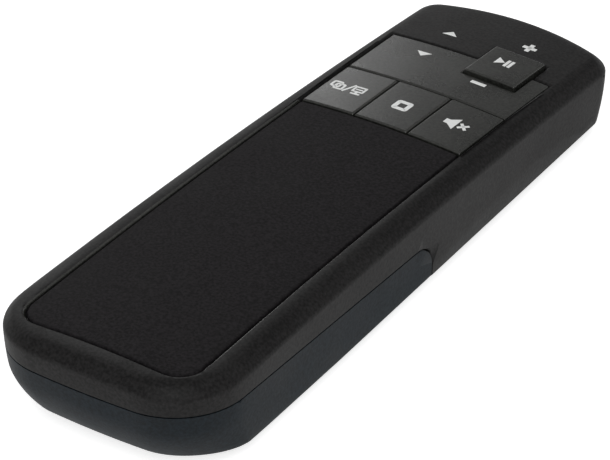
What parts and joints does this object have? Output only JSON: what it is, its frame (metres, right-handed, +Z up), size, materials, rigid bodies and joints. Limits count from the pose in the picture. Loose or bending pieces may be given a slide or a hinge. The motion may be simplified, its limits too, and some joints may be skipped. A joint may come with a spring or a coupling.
{
  "type": "wireless presentation clicker",
  "caption": "Hand-held wireless clicker with a palm pad, a row of square keys, a tilting rocker plate and a slide-off battery cover.",
  "frame": {"origin": "centre of the bounding box's underside, on the flat underside that rests on a table", "axes": "+X to the holder's right, +Y towards the pointing end, +Z up out of the table"},
  "size_m": [0.0446, 0.1338, 0.0195],
  "materials": {
    "housing_plastic": "fine matte soft-touch black",
    "cover_plastic": "fine matte black",
    "pad_soft": "plain soft matte black pad",
    "adhesive": "clear double-sided adhesive sheet",
    "key_plastic": "satin dark grey",
    "rocker_plastic": "satin dark grey",
    "frame_plastic": "moulded black",
    "board": "green solder mask",
    "dome_steel": "snap dome",
    "chip": "moulded package",
    "can_steel": "metal can",
    "screw_steel": "blackened screw",
    "tray_plastic": "moulded black",
    "cell_jacket": "plain printed can",
    "contact_steel": "nickel-plated spring steel"
  },
  "bodies": {
    "housing": {"battery_tray": "tray_plastic", "cell_left": "cell_jacket", "cell_right": "cell_jacket", "circuit_board": "board", "crystal": "can_steel", "dome_down": "dome_steel", "dome_minus": "dome_steel", "dome_mute": "dome_steel", "dome_play": "dome_steel", "dome_plus": "dome_steel", "dome_screen": "dome_steel", "dome_stop": "dome_steel", "dome_up": "dome_steel", "key_frame": "frame_plastic", "lower_housing": "housing_plastic", "pad_glue": "adhesive", "palm_pad": "pad_soft", "radio_chip": "chip", "screw_left": "screw_steel", "screw_right": "screw_steel", "spring_left": "contact_steel", "spring_plate_left": "contact_steel", "spring_plate_right": "contact_steel", "spring_right": "contact_steel", "tip_plate_left": "contact_steel", "tip_plate_right": "contact_steel", "upper_housing": "housing_plastic"},
    "battery_cover_body": {"battery_cover": "cover_plastic"},
    "key_screen_body": {"key_screen": "key_plastic"},
    "key_stop_body": {"key_stop": "key_plastic"},
    "key_mute_body": {"key_mute": "key_plastic"},
    "key_play_pause_body": {"key_play_pause": "key_plastic"},
    "rocker_key_body": {"rocker_key": "rocker_plastic"}
  },
  "joints": [
    {"name": "key_screen_press", "type": "slide", "parent": "housing", "child": "key_screen_body", "axis": [0, -0.0558, -0.9984], "range_m": [0, 0.0005], "stiffness_N_per_m": 2000},
    {"name": "key_stop_press", "type": "slide", "parent": "housing", "child": "key_stop_body", "axis": [0, -0.0558, -0.9984], "range_m": [0, 0.0005], "stiffness_N_per_m": 2000},
    {"name": "key_mute_press", "type": "slide", "parent": "housing", "child": "key_mute_body", "axis": [0, -0.0558, -0.9984], "range_m": [0, 0.0005], "stiffness_N_per_m": 2000},
    {"name": "key_play_pause_press", "type": "slide", "parent": "housing", "child": "key_play_pause_body", "axis": [0, -0.0558, -0.9984], "range_m": [0, 0.0005], "stiffness_N_per_m": 2000},
    {"name": "rocker_tilt", "type": "hinge", "parent": "housing", "child": "rocker_key_body", "pos_m": [0, 0.04056, 0.01157], "axis": [1, 0, 0], "range_deg": [-2, 2], "stiffness_Nm_per_rad": 0.12},
    {"name": "cover_slide", "type": "slide", "parent": "housing", "child": "battery_cover_body", "axis": [0, -1, 0], "range_m": [0, 0.012]}
  ]
}
